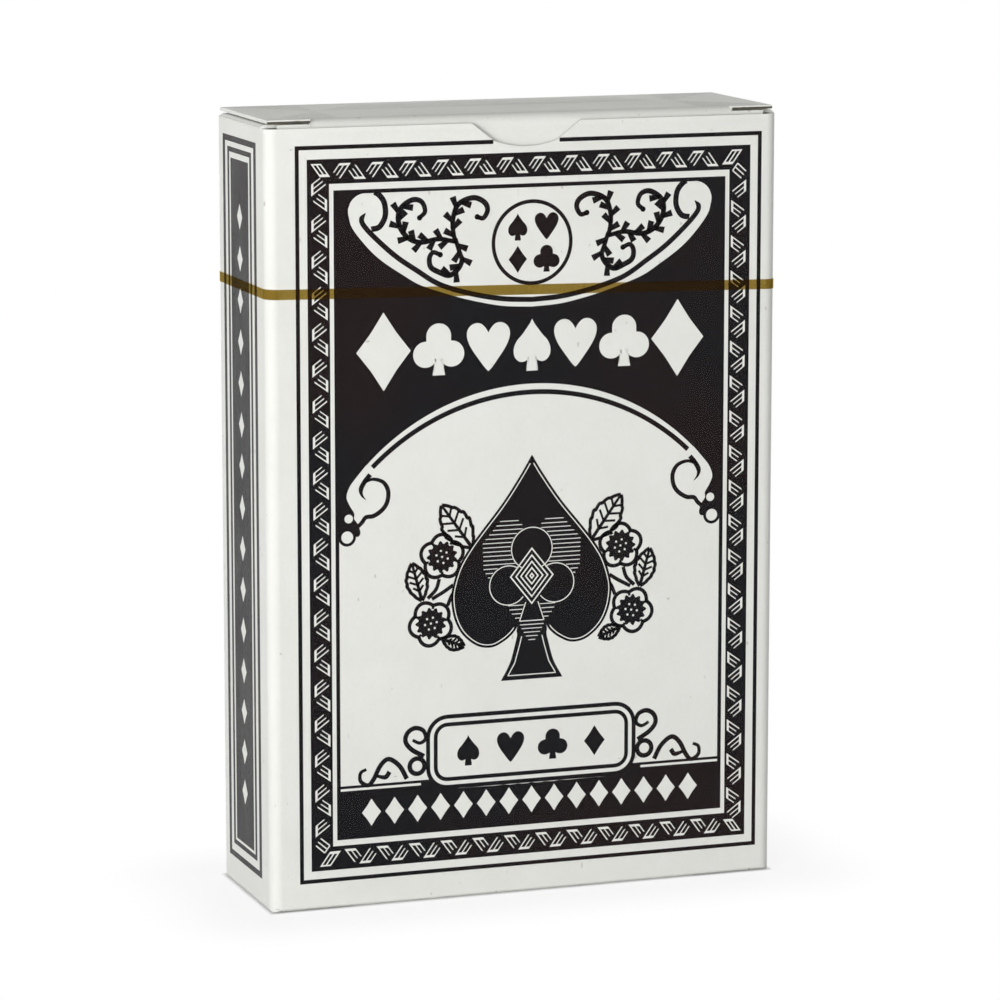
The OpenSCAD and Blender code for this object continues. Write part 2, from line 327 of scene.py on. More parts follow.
black_ink, tree, output = new_material("black_ink")
place = object_place(tree)
grain = noise(tree, place, INK_GRAIN_SCALE, INK_GRAIN_DETAIL)
drift = stretch(tree, noise(tree, place, INK_DRIFT_SCALE), DRIFT_FROM, DRIFT_TO)
coat_rough = add_node(tree, "ShaderNodeMapRange", Value=grain, To_Min=INK_SMOOTH, To_Max=INK_ROUGH).outputs[0]
ink = add_node(tree, "ShaderNodeBsdfPrincipled", Base_Color=mix_colour(tree, drift, INK_COLD, INK_WARM),
               Roughness=coat_rough, Specular_IOR_Level=INK_SPECULAR, Normal=bump(tree, grain, INK_BUMP))
tree.links.new(ink.outputs[0], output.inputs["Surface"])
print("ink ready")

# %% [markdown]
# Playing cards are white stock pressed with a linen of tiny dimples. The edges of a pack show each card as
# a fine line. A groove between the cards would be too fine to see, so a dark stripe of painted shade runs
# across the pack at the pitch of one card wherever the surface is an edge, and each card's cut edge has a
# tone of its own.

# %% Card stock
CARD_LIGHT, CARD_SHADE, EDGE_TONE_AND_GROOVE_SHADE = (0.86, 0.86, 0.83, 1), (0.82, 0.82, 0.785, 1), (0.30, 0.29, 0.27, 1)
LINEN_SCALE, LINEN_BUMP = 5200, 0.008
CARD_MIDDLE, GROOVE_SHADE_FROM, GROOVE_SHADE_TO = 0.5, 0.28, 0.42
CUT_SHARE, EDGE_LIMIT = 0.45, 0.5
CARD_ROUGH, CARD_SPECULAR = 0.4, 0.3
pack_low = box_mm("spades_ace")[0]
card_pitch = box_mm("spades_two")[0][1] - pack_low[1]

card_stock, tree, output = new_material("card_stock")
place = object_place(tree)
dimples = add_node(tree, "ShaderNodeTexVoronoi", Vector=place, Scale=LINEN_SCALE).outputs["Distance"]
depth = math_node(tree, "SUBTRACT", split(tree, place)[1], pack_low[1] * MM)
step = math_node(tree, "DIVIDE", depth, card_pitch * MM)
from_middle = math_node(tree, "SUBTRACT", math_node(tree, "FRACT", step), CARD_MIDDLE)
# painted shade: a dark stripe where one card's edge meets the next
line = stretch(tree, math_node(tree, "ABSOLUTE", from_middle), GROOVE_SHADE_FROM, GROOVE_SHADE_TO)
number = math_node(tree, "FLOOR", step)
card_tone = add_node(tree, "ShaderNodeTexWhiteNoise", {"noise_dimensions": "1D"}, W=number).outputs[0]
facing = split(tree, add_node(tree, "ShaderNodeNewGeometry").outputs["Normal"])[1]
edge = math_node(tree, "LESS_THAN", math_node(tree, "ABSOLUTE", facing), EDGE_LIMIT)
face_colour = mix_colour(tree, noise(tree, place, FIBRE_SCALE), CARD_SHADE, CARD_LIGHT)
edge_colour = mix_colour(tree, product(tree, card_tone, edge, CUT_SHARE), face_colour, EDGE_TONE_AND_GROOVE_SHADE)
stock_colour = mix_colour(tree, product(tree, line, edge), edge_colour, EDGE_TONE_AND_GROOVE_SHADE)
stock = add_node(tree, "ShaderNodeBsdfPrincipled", Base_Color=stock_colour, Roughness=CARD_ROUGH,
                 Specular_IOR_Level=CARD_SPECULAR, Normal=bump(tree, dimples, LINEN_BUMP))
tree.links.new(stock.outputs[0], output.inputs["Surface"])
print("cards every", round(card_pitch, 3), "mm")

# %% [markdown]
# The film is so thin that it bends no light: it lets nearly all through and mirrors a little, most at a
# grazing angle. Glass would refract and darken, so a transparent surface is mixed with a gloss whose share
# rises with the fifth power of one minus the facing cosine. Long shallow waves and patches of haze, drawn
# out along the width, break up its reflections. Where it lies folded on the ends, it passes a little less
# light.

# %% Clear film
FILM_FACING, FILM_GRAZING, FILM_ROUGH = 0.003, 0.16, 0.08
WAVE_SCALE, WAVE_STRETCH, WAVE_DEPTH = 120, (0.25, 1.6, 1.0), 0.4
WAVE_STRENGTH, FACING_BLEND, FILM_POWER = 0.5, 0.5, 5.0
HAZE_SCALE, HAZE_FROM, HAZE_TO, HAZE_LOW, HAZE_HIGH = 85, 0.35, 0.65, 0.6, 0.95
SLEEVE_TINT, FOLD_TINT = (0.995, 0.995, 0.995), (0.968, 0.968, 0.963)


def film_material(name, tint):
    """Film that passes the tint at each surface and mirrors by its facing, its waves and its haze."""
    material, tree, output = new_material(name)
    drawn = add_node(tree, "ShaderNodeMapping", Vector=object_place(tree), Scale=WAVE_STRETCH).outputs[0]
    waves = bump(tree, noise(tree, drawn, WAVE_SCALE), WAVE_DEPTH, WAVE_STRENGTH)
    facing = add_node(tree, "ShaderNodeLayerWeight", Blend=FACING_BLEND, Normal=waves).outputs["Facing"]
    haze = add_node(tree, "ShaderNodeMapRange", Value=noise(tree, drawn, HAZE_SCALE), From_Min=HAZE_FROM,
                    From_Max=HAZE_TO, To_Min=HAZE_LOW, To_Max=HAZE_HIGH).outputs[0]
    grazing = math_node(tree, "MULTIPLY", math_node(tree, "POWER", facing, FILM_POWER), haze)
    share = add_node(tree, "ShaderNodeMapRange", Value=grazing, To_Min=FILM_FACING, To_Max=FILM_GRAZING)
    through = add_node(tree, "ShaderNodeBsdfTransparent", Color=(*tint, 1))
    mirror = add_node(tree, "ShaderNodeBsdfGlossy", Color=PURE_WHITE, Roughness=FILM_ROUGH, Normal=waves)
    mixed = add_node(tree, "ShaderNodeMixShader", i0=share.outputs[0], i1=through.outputs[0],
                     i2=mirror.outputs[0])
    tree.links.new(mixed.outputs[0], output.inputs["Surface"])
    return material


clear_film = film_material("clear_film", SLEEVE_TINT)
folded_film = film_material("folded_film", FOLD_TINT)
print("film ready")

# %% [markdown]
# The tear tape is a gold tinted strip. Light crosses it on the way in and again on the way out, so it looks
# gold over white board and olive brown over black ink. The tint of one surface is therefore pale, and a
# small share of a glossy gold keeps the strip visible over the ink.

# %% Tear tape
TAPE_TINT, TAPE_GOLD, TAPE_BRIGHT = (0.73, 0.655, 0.40, 1), (0.45, 0.24, 0.12, 1), (0.50, 0.30, 0.16, 1)
TAPE_BODY, TAPE_GRAIN_SCALE, TAPE_ROUGH, TAPE_SPECULAR = 0.03, 900, 0.25, 0.2

tape_film, tree, output = new_material("tape_film")
grain = noise(tree, object_place(tree), TAPE_GRAIN_SCALE)
through = add_node(tree, "ShaderNodeBsdfTransparent", Color=TAPE_TINT)
gold_tone = mix_colour(tree, grain, TAPE_GOLD, TAPE_BRIGHT)
gold = add_node(tree, "ShaderNodeBsdfPrincipled", Base_Color=gold_tone, Roughness=TAPE_ROUGH,
                Specular_IOR_Level=TAPE_SPECULAR)
mixed = add_node(tree, "ShaderNodeMixShader", i0=TAPE_BODY, i1=through.outputs[0], i2=gold.outputs[0])
tree.links.new(mixed.outputs[0], output.inputs["Surface"])
print("tape ready")

# %% [markdown]
# Every solid of the frame takes one of these finishes. They could be given by hand, but the record already
# names a slot for each solid, so one loop serves them all.

# %% Finishes on the solids
SLOT_FINISH = {"carton_board": coated_board, "clear_film": clear_film, "tear_tape": tape_film,
               "card_stock": card_stock}
for subpart in frame["record"]["subparts"]:
    for place_in_solid in frame["nodes"][subpart["node"]].material_slots:
        place_in_solid.material = SLOT_FINISH[subpart["material_slot"]]

# %% [markdown]
# The print could be painted as a texture, but its crisp ornament would then depend on pixels. Here each
# printed shape is a plate a few thousandths of a millimetre thick on the board. A shape is drawn flat, as a
# grid of points in millimetres across (u) and up (v) a panel, and lifted on its panel by layers: black ink,
# white board left bare, fine black lines, fine white lines.

# %% Panels and plates
LAYER_STEP, LAYER_GAP = 0.004, 0.0005
INK_LAYER, BARE_LAYER, FINE_LAYER, TOP_LAYER = 1, 2, 3, 4
PRINT_OFFSET, SIDE_PRINT_OFFSET = 0.7, 0.6
PANELS = {
    "front": ([PRINT_OFFSET, front_y, 0], [1, 0, 0], [0, -1, 0]),
    "left": ([-side_x, SIDE_PRINT_OFFSET, 0], [0, -1, 0], [-1, 0, 0]),
    "right": ([side_x, SIDE_PRINT_OFFSET, 0], [0, 1, 0], [1, 0, 0]),
    "back": ([0, back_y, 0], [-1, 0, 0], [0, 1, 0]),
}


def counter_clockwise(sheet):
    """Swaps the columns of each grid whose area, the sum of its cells' cross products, is negative."""
    down, across = sheet[:, 1:, :-1] - sheet[:, :-1, :-1], sheet[:, :-1, 1:] - sheet[:, :-1, :-1]
    area = (down[..., 0] * across[..., 1] - down[..., 1] * across[..., 0]).sum(axis=(1, 2))
    return np.where(area[:, None, None, None] < 0, sheet[:, :, ::-1], sheet)


def grid_quads(index):
    """Corner numbers of every cell of numbered grids."""
    cells = [index[:, :-1, :-1], index[:, 1:, :-1], index[:, 1:, 1:], index[:, :-1, 1:]]
    return np.stack(cells, axis=-1).reshape(-1, 4)


def rim_quads(lower, upper):
    """Walls that join the edges of two numbered grids, going round counter-clockwise."""
    def loop(index):
        sides = [index[:, :-1, 0], index[:, -1, :-1], index[:, :0:-1, -1], index[:, 0, :0:-1]]
        return np.concatenate(sides, axis=1)
    low, high = loop(lower), loop(upper)
    walls = [low, np.roll(low, -1, axis=1), np.roll(high, -1, axis=1), high]
    return np.stack(walls, axis=-1).reshape(-1, 4)


def plates(sheets, low, high):
    """Closed plates: each grid at the height high, the same at low turned over, and walls round the rim."""
    points, quads, count = [], [], 0
    for sheet in sheets:
        sheet = counter_clockwise(np.asarray(sheet, float))
        both = np.stack([sheet, sheet], axis=1)
        heights = np.broadcast_to(np.array([low, high])[None, :, None, None, None], both.shape[:-1] + (1,))
        index = count + np.arange(both[..., 0].size).reshape(both.shape[:-1])
        points.append(np.concatenate([both, heights], axis=-1).reshape(-1, 3))
        lower, upper = index[:, 0], index[:, 1]
        quads += [grid_quads(upper), grid_quads(lower)[:, ::-1], rim_quads(lower, upper)]
        count += both[..., 0].size
    return np.concatenate(points), np.concatenate(quads)


def lay_print(name, panel, layer, sheets, material):
    """Lays flat grids on a panel: a point is the panel's origin plus u across, v up and height outwards."""
    points, quads = plates(sheets, (layer - 1) * LAYER_STEP + LAYER_GAP, layer * LAYER_STEP)
    origin, right, out = (np.array(axis, float) for axis in PANELS[panel])
    axes = np.stack([right, [0, 0, 1], out])
    piece = add_mesh(name, origin + points @ axes, quads, material)
    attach(piece, "carton")
    print(name, len(quads), "faces")


print("panels", ", ".join(PANELS))

# %% [markdown]
# A few drawing tools make all the ornament: bars, curves through given points, ribbons along a curve, and
# filled outlines. Each returns grids, so hundreds of strokes are made in one go.

# %% Drawing tools
CURVE_STEPS, LINE_STEPS, ARC_STEPS, CIRCLE_STEPS = 8, 12, 33, 65
STAR_GRID = 17
LINE_END = 0.02


def bars(u_low, v_low, u_high, v_high):
    """Upright rectangles from their lower left and upper right corners; each value may be a list."""
    u_low, v_low, u_high, v_high = np.broadcast_arrays(*np.atleast_1d(u_low, v_low, u_high, v_high))
    rows = [np.stack([np.stack([u, v_low], -1), np.stack([u, v_high], -1)], 1) for u in (u_low, u_high)]
    return np.stack(rows, axis=1).astype(float)


def strokes(starts, ends, width):
    """Straight strokes from start points to end points, widened by half the width to each side."""
    starts, ends = np.atleast_2d(starts).astype(float), np.atleast_2d(ends).astype(float)
    run = ends - starts
    side = np.stack([-run[:, 1], run[:, 0]], -1) / np.linalg.norm(run, axis=1, keepdims=True)
    side = side * np.atleast_1d(width)[:, None] / 2
    return np.stack([np.stack([points - side, points + side], 1) for points in (starts, ends)], axis=1)


def curve(points):
    """Smooth curve through the points: each span is a cubic, and its slope at a point is half the chord
    between that point's neighbours."""
    p = np.asarray(points, float)
    p = np.vstack([2 * p[0] - p[1], p, 2 * p[-1] - p[-2]])
    t = np.linspace(0, 1, CURVE_STEPS, endpoint=False)[None, :, None]
    a, b, c, d = (p[i:len(p) - 3 + i, None] for i in range(4))
    spans = b + 0.5 * ((c - a) * t + (2 * a - 5 * b + 4 * c - d) * t**2 + (3 * b - a - 3 * c + d) * t**3)
    return np.vstack([spans.reshape(-1, 2), p[-2]])


def directions(angle):
    """Unit vectors at the given angles, in radians."""
    return np.stack([np.cos(angle), np.sin(angle)], -1)


def arc(centre, radius, start, end, count=ARC_STEPS):
    """Points on a circle between two angles in degrees."""
    return np.asarray(centre) + radius * directions(np.radians(np.linspace(start, end, count)))


def circle(centre, radius, count=CIRCLE_STEPS):
    """Points once round a circle, without the last one, which repeats the first."""
    return arc(centre, radius, 0, 360, count)[:-1]


def ribbon(path, width, closed=False):
    """A path widened by half a width to each side along its normal; the width may change along it."""
    path = np.vstack([path, path[:1]]) if closed else np.asarray(path, float)
    slope = np.gradient(path, axis=0)
    if closed:
        slope[[0, -1]] = path[1] - path[-2]
    normal = slope[:, ::-1] * [-1, 1] / np.linalg.norm(slope, axis=1, keepdims=True)
    half = np.broadcast_to(width, len(path))[:, None] / 2
    return np.stack([path - normal * half, path + normal * half], axis=1)[None]


def tapered(path, widths):
    """Ribbon whose width runs through the given widths, evenly spaced along the path."""
    share = np.linspace(0, 1, len(path))
    return ribbon(path, np.interp(share, np.linspace(0, 1, len(widths)), widths))


def between(first, second):
    """Fills the strip between two curves of equally many points."""
    return np.stack([first, second], axis=1)[None]


def star(outline, centre):
    """Fills an outline seen from its centre. A square grid is pressed into a disc, x sqrt(1 - y^2/2) and
    y sqrt(1 - x^2/2), and each point then moves out in proportion to the outline's distance that way."""
    line = np.linspace(-1, 1, STAR_GRID)
    x, y = np.meshgrid(line, line, indexing="ij")
    disc = np.stack([x * np.sqrt(1 - y**2 / 2), y * np.sqrt(1 - x**2 / 2)], -1)
    away = np.asarray(outline) - centre
    turn = np.arctan2(away[:, 1], away[:, 0])
    order = np.argsort(turn)
    reach = np.interp(np.arctan2(disc[..., 1], disc[..., 0]), turn[order],
                      np.linalg.norm(away, axis=1)[order], period=2 * math.pi)
    return (centre + disc * reach[..., None])[None]


def disc(centre, radius):
    """Filled circle."""
    return star(circle(centre, radius), np.asarray(centre))


def mirrored(sheets):
    """The sheets and their mirror images about the middle line."""
    return [np.concatenate([sheet, sheet * [-1, 1]]) for sheet in sheets]


def moved(sheet, u, v):
    """Copies of a sheet at the given places."""
    places = np.stack(np.broadcast_arrays(*np.atleast_1d(u, v)), -1)[:, None, None, None]
    return (sheet[None] + places).reshape((-1,) + sheet.shape[1:])


print("drawing tools ready")

# %% [markdown]
# The four suit signs return all over the print. Each is the right half of an outline of height one,
# mirrored, except the club, which is the outermost of three circles and a foot seen from its middle.

# %% Suit signs
SPADE_HALF = [(0, 1), (.020, .946), (.124, .805), (.215, .686), (.295, .605), (.352, .505), (.375, .398),
              (.358, .289), (.295, .208), (.226, .176), (.146, .186), (.089, .225), (.063, .259)]
SPADE_FOOT, SPADE_MIDDLE = [(.066, .20), (.150, 0), (0, 0)], .42
HEART_HALF = [(0, .79), (.05, .88), (.14, .97), (.25, 1), (.37, .96), (.45, .86), (.465, .73), (.42, .58),
              (.33, .42), (.20, .24), (.08, .08), (0, 0)]
HEART_MIDDLE = .6
LOZENGE_HALF, LOZENGE_MIDDLE = [(0, 1), (.17, .74), (.36, .5), (.17, .26), (0, 0)], .5
CLUB_CIRCLES = [(0, .745, .25), (-.262, .405, .25), (.262, .405, .25)]
CLUB_MIDDLE, CLUB_FOOT, CLUB_STEPS = .46, .16, 181


def whole(half):
    """A right half outline followed by its mirror image from the bottom up."""
    half = np.asarray(half, float)
    return np.vstack([half, half[-2:0:-1] * [-1, 1]])


def resampled(points, count=LINE_STEPS):
    """Straight lines between the points, each cut into the given number of steps."""
    p = np.asarray(points, float)
    t = np.linspace(0, 1, count, endpoint=False)[None, :, None]
    return np.vstack([(p[:-1, None] * (1 - t) + p[1:, None] * t).reshape(-1, 2), p[-1]])


def club_outline():
    """In each direction from the middle, the farthest hit on the three circles, or on the foot below."""
    turn = np.linspace(0, 2 * math.pi, CLUB_STEPS)[:-1]
    ray = np.stack([np.sin(turn), np.cos(turn)], -1)
    circles = np.array(CLUB_CIRCLES)
    centres = circles[:, :2] - [0, CLUB_MIDDLE]
    along = ray @ centres.T
    inside = along**2 - (centres**2).sum(1) + circles[:, 2]**2
    reach = np.where(inside > 0, along + np.sqrt(np.maximum(inside, 0)), 0).max(axis=1)
    foot = np.abs(ray[:, 0]) * CLUB_MIDDLE < -ray[:, 1] * CLUB_FOOT
    reach = np.where(foot, CLUB_MIDDLE / np.maximum(-ray[:, 1], LINE_END), np.maximum(reach, CLUB_FOOT))
    return ray * reach[:, None] + [0, CLUB_MIDDLE]


spade_side = np.vstack([curve(SPADE_HALF), resampled(SPADE_FOOT)])
SUITS = {
    "spade": (whole(spade_side), SPADE_MIDDLE),
    "heart": (whole(curve(HEART_HALF)), HEART_MIDDLE),
    "club": (club_outline(), CLUB_MIDDLE),
    "lozenge": (whole(resampled(LOZENGE_HALF)), LOZENGE_MIDDLE),
}


def suit(kind, u, v, height):
    """Suit sign of the given height with its middle at (u, v)."""
    outline, middle = SUITS[kind]
    shift = np.array([u, v - height / 2])
    return star(outline * height + shift, np.array([0, middle]) * height + shift)


print("suit signs:", ", ".join(SUITS))

# %% [markdown]
# The front opens with a thin frame line, broken where the thumb notch cuts the rim, and a broad black band.
# White combs stand in the band, slanting in turn from its outer and its inner edge. They could be drawn one
# by one, but a comb is only a bar with three strokes, so a side repeats those four rows at a fixed pitch.

# %% Frame line and band of combs
FRAME_HALF, FRAME_LOW, FRAME_HIGH, FRAME_LINE = 28.25, 3.15, 88.05, 0.47
BAND_HALF, BAND_LOW, BAND_HIGH = 26.85, 4.55, 86.5
BAND_INNER_HALF, BAND_INNER_LOW, BAND_INNER_HIGH = 24.25, 7.33, 83.7
NOTCH_HALF = 4.0
ROW_PITCH, ROW_START, ROW_COUNT = 3.89, 3.83, 12
COLUMN_PITCH, COLUMN_START, COLUMN_COUNT = 4.1, 2.8, 19
COMB_DEPTH, COMB_INSET, COMB_SLANT = 1.85, 0.5, -0.72
OUTER_COMB = [(0, 1.34, 0, 0.27), (0, 0.15, 0.27, 1.05), (0.58, 0.15, 0.27, 1.35), (1.16, 0.17, 0.27, 1.7)]
INNER_COMB = [(0, 1.34, 0, 0.27), (0, 0.15, 0.27, 1.0), (0.58, 0.15, 0.27, 1.2), (1.16, 0.17, 0.27, 1.6)]
CORNER_COMB = [(0, 1.2, 0, 0.16), (0, 0.18, 0.16, 1.2), (0.51, 0.18, 0.16, 1.2), (1.02, 0.18, 0.16, 1.2),
               (0, 1.2, 1.2, 1.5)]
CLOSED_COMB = [(0, 1.3, 0, 0.18), (0, 0.19, 0.18, 1.4), (0.56, 0.19, 0.18, 1.4), (1.11, 0.19, 0.18, 1.4),
               (0, 1.3, 1.4, 1.7)]
INNER_COMB_START, CORNER_COMB_START, CLOSED_COMB_START = 1.78, 0.45, 51.4
TURN_COMB_STARTS = [(3.85, 1.1), (3.45, 0.8), (3.05, 0.53)]
TURN_COMB_ENDS = [(2.93, 2.2), (2.5, 1.9), (2.1, 1.58)]


def ring_bars(half, low, high, inner_half, inner_low, inner_high):
    """Four bars of a rectangular frame, given by its outside and its inside."""
    return bars([-half, inner_half, -inner_half, -inner_half], [low, low, low, inner_high],
                [-inner_half, half, inner_half, inner_half], [high, high, inner_low, high])


def comb_row(corner, along, inward, starts, comb, slant, from_inside=False):
    """Combs along a side. A stroke begins at a distance s along the side and leans by slant as it goes
    deeper; its two edges are s and s plus its width."""
    begin, width, near, far = np.array(comb, float).T
    deep = np.stack([near, far], -1)
    s = begin[:, None] + slant * deep
    s = np.stack([s, s + width[:, None]], -1)[None] + np.atleast_1d(starts)[:, None, None, None]
    deep = np.broadcast_to((COMB_DEPTH - deep if from_inside else deep)[..., None], s.shape) + COMB_INSET
    grid = np.array(corner, float) + s[..., None] * np.array(along) + deep[..., None] * np.array(inward)
    return grid.reshape(-1, 2, 2, 2)


def comb_side(corner, along, inward, starts, inner_count):
    """Outer combs at the given starts along a side, and an inner comb behind each of the first ones."""
    behind = starts[:inner_count] + INNER_COMB_START
    return [comb_row(corner, along, inward, starts, OUTER_COMB, COMB_SLANT),
            comb_row(corner, along, inward, behind, INNER_COMB, COMB_SLANT, True)]


def turn_comb(corner, along, inward):
    """Comb across a corner: three strokes between points along a side and into the band, and their bar."""
    axes = np.array([along, inward])
    begin, end = (np.array(corner) + np.array(points) @ axes for points in (TURN_COMB_STARTS, TURN_COMB_ENDS))
    return [strokes(begin, end, OUTER_COMB[1][1]), strokes(end[:1], end[-1:], OUTER_COMB[1][1])]


def comb_band():
    """Combs on the top row and the left column, and the same again turned by half a turn."""
    sheets = []
    rows = ROW_START + ROW_PITCH * np.arange(ROW_COUNT)
    columns = COLUMN_START + COLUMN_PITCH * np.arange(COLUMN_COUNT)
    for turn in (1, -1):
        high, low = (BAND_HIGH, BAND_LOW) if turn > 0 else (BAND_LOW, BAND_HIGH)
        first, last, right, down = (-turn * BAND_HALF, high), (-turn * BAND_HALF, low), (turn, 0), (0, -turn)
        sheets += comb_side(first, right, down, rows, ROW_COUNT)
        sheets += comb_side(first, down, right, columns, COLUMN_COUNT - 1)
        sheets.append(comb_row(first, right, down, CORNER_COMB_START, CORNER_COMB, -COMB_SLANT))
        sheets.append(comb_row(first, right, down, CLOSED_COMB_START, CLOSED_COMB, COMB_SLANT))
        sheets += turn_comb(last, (0, turn), right)
    return sheets


band = ring_bars(BAND_HALF, BAND_LOW, BAND_HIGH, BAND_INNER_HALF, BAND_INNER_LOW, BAND_INNER_HIGH)
frame_line = ring_bars(FRAME_HALF, FRAME_LOW, FRAME_HIGH, FRAME_HALF - FRAME_LINE, FRAME_LOW + FRAME_LINE,
                       FRAME_HIGH - FRAME_LINE)
notch_middle = -PRINT_OFFSET
broken_top = bars([FRAME_LINE - FRAME_HALF, notch_middle + NOTCH_HALF], FRAME_HIGH - FRAME_LINE,
                  [notch_middle - NOTCH_HALF, FRAME_HALF - FRAME_LINE], FRAME_HIGH)
ink_sheets, bare_sheets, line_sheets, light_sheets = [band, frame_line[:3], broken_top], comb_band(), [], []
print(sum(len(sheet) for sheet in bare_sheets), "comb strokes")

# %% [markdown]
# Inside the band lies a black field. Its upper white lunette hangs like a smile and ends in two volutes;
# below, a white arch rises and ends in curls. They could be cut out of a sheet, but cuts leave long thin
# faces. So the field is the strip between the panel's top and the arch, and the lunette is the strip
# between its top edge and its lower curve, both filled column by column.

# %% Field, lunette and arch
PANEL_HALF, PANEL_LOW, PANEL_HIGH = 23.75, 8.0, 82.95
ARCH_CENTRE, ARCH_RADIUS, ARCH_HALF = (0, 31.9), 28.0, 20.0
FOOT_BAND_HIGH, EDGE_LINE, RING_HEIGHT = 14.3, 0.45, 43.3
LUNETTE_TOP, VOLUTE_CENTRE, VOLUTE_RADIUS = 82.5, (19.95, 80.4), 2.12
LUNETTE_EDGE = [(0, 68.8), (3.5, 69.03), (7, 69.74), (10, 70.6), (13.4, 71.8), (15.6, 73.1), (18.1, 74.8),
                (19.9, 76.5), (21.6, 78.7), (22.03, 80.26)]
SHOULDER = [(20.0, 51.55), (21.1, 50.3), (21.97, 49.2), (22.4, 48.0), (22.06, 47.0), (21.5, 46.05),
            (21.5, 45.4), (21.0, 44.6), (20.9, 43.4), (22.9, 42.6)]
FIELD_COLUMNS = 81

u = np.linspace(-ARCH_HALF, ARCH_HALF, FIELD_COLUMNS)
arch_edge = np.stack([u, ARCH_CENTRE[1] + np.sqrt(ARCH_RADIUS**2 - u**2)], -1)
ink_sheets.append(between(arch_edge, np.stack([u, np.full_like(u, PANEL_HIGH)], -1)))
ink_sheets += mirrored([bars(ARCH_HALF, RING_HEIGHT, PANEL_HALF, PANEL_HIGH),
                        bars(PANEL_HALF - EDGE_LINE, FOOT_BAND_HIGH, PANEL_HALF, RING_HEIGHT)])
ink_sheets.append(bars(-PANEL_HALF, PANEL_LOW, PANEL_HALF, FOOT_BAND_HIGH))

edge = curve(LUNETTE_EDGE)
u = np.linspace(0, edge[-1, 0], FIELD_COLUMNS)
lower = np.interp(u, edge[:, 0], edge[:, 1])
volute_top = VOLUTE_CENTRE[1] + np.sqrt(np.maximum(VOLUTE_RADIUS**2 - (u - VOLUTE_CENTRE[0])**2, LINE_END))
upper = np.where(u < VOLUTE_CENTRE[0], LUNETTE_TOP, volute_top)
half_lunette = np.stack([np.stack([u, lower], -1), np.stack([u, upper], -1)], axis=1)
bare_sheets.append(np.concatenate([(half_lunette * [-1, 1])[:0:-1], half_lunette])[None])
shoulder = curve(SHOULDER)
arch_side = np.stack([np.full(len(shoulder), ARCH_HALF), shoulder[:, 1]], -1)
bare_sheets += mirrored([between(shoulder, arch_side)])
print("field, lunette and arch drawn")

# %% [markdown]
# Fine black lines follow the edges of both white shapes: one inside the lunette that ends in the volutes'
# circles, one under the arch with a curl at each end, and a small ring below. They are ribbons along
# curves, thinned to a point where a pen would lift.

# %% Lines of lunette and arch
LUNETTE_LINE = [(0, 69.62), (3.5, 69.85), (7, 70.5), (10.1, 71.4), (11.9, 72.2), (13.8, 73.45), (16.1, 75.0),
                (18.1, 76.7), (19.9, 78.5), (20.45, 79.5), (19.96, 80.28)]
LUNETTE_TAPER, LUNETTE_WIDTHS = [-1, -0.93, 0.93, 1], [0.07, 0.6, 0.6, 0.07]
VOLUTE_LINE = [(19.3, 78.4), (18.4, 78.6), (17.8, 79.4), (17.6, 80.3), (17.8, 81.5), (18.4, 82.3),
               (18.9, 82.6)]
VOLUTE_WIDTH = 0.66
ARCH_LINE_HALF, ARCH_LINE_DROP, ARCH_LINE, ARCH_LINE_TIP = 19.3, 0.97, 0.57, 0.06
ARCH_LINE_END = [(19.57, 50.4), (20.24, 49.6), (20.67, 48.8), (20.58, 48.1), (20.1, 47.5)]
ARCH_CURL = [(20.57, 49.25), (19.85, 49.7), (19.1, 49.84), (18.1, 49.5), (17.56, 48.8), (17.4, 48.0),
             (17.6, 47.0), (18.2, 46.2), (19.2, 45.6), (20.1, 45.5), (20.6, 44.9), (21.2, 44.4), (21.7, 44.2)]
ARCH_CURL_WIDTHS = [0.26, 0.52, 0.52, 0.46]
HOOK_DISC, HOOK_RADIUS = (22.16, 45.43), 0.5
RING_CENTRE, RING_OUTER, RING_INNER = (22.35, 43.3), 1.05, 0.7
MEDALLION, MEDALLION_RADIUS, MEDALLION_LINE, MEDALLION_STEPS = (0, 76.2), 4.7, 0.44, 73
SIGN_PLACES, SIGN_HEIGHT = [(-1.75, 78.0), (1.75, 78.0), (1.75, 74.3), (-1.75, 74.3)], 3.1

line = curve(LUNETTE_LINE)
lunette_line = np.vstack([line[:0:-1] * [-1, 1], line])
lunette_share = np.linspace(-1, 1, len(lunette_line))
line_sheets += [ribbon(lunette_line, np.interp(lunette_share, LUNETTE_TAPER, LUNETTE_WIDTHS))]
line_sheets += mirrored([ribbon(curve(VOLUTE_LINE), VOLUTE_WIDTH)])
u = np.linspace(-ARCH_LINE_HALF, ARCH_LINE_HALF, FIELD_COLUMNS)
arch_line = np.stack([u, ARCH_CENTRE[1] - ARCH_LINE_DROP + np.sqrt(ARCH_RADIUS**2 - u**2)], -1)
line_sheets += [ribbon(arch_line, ARCH_LINE)]
line_sheets += mirrored([tapered(curve(ARCH_LINE_END), [ARCH_LINE, ARCH_LINE, ARCH_LINE_TIP]),
                         tapered(curve(ARCH_CURL), ARCH_CURL_WIDTHS)])
medallion = circle(MEDALLION, MEDALLION_RADIUS, MEDALLION_STEPS)
line_sheets += [ribbon(medallion, MEDALLION_LINE, closed=True)]
line_sheets += mirrored([disc(RING_CENTRE, RING_OUTER)])
light_sheets += mirrored([disc(RING_CENTRE, RING_INNER), disc(HOOK_DISC, HOOK_RADIUS)])
line_sheets += [suit(kind, *spot, SIGN_HEIGHT) for kind, spot in zip(SUITS, SIGN_PLACES)]
print("lines drawn")

# %% [markdown]
# Leafy vines fill the lunette on both sides of the medallion. A stem is a ribbon that ends in a bare curl.
# Its short blunt leaves could be drawn one by one, but they are set left and right in turn, so one function
# places them all along the path.

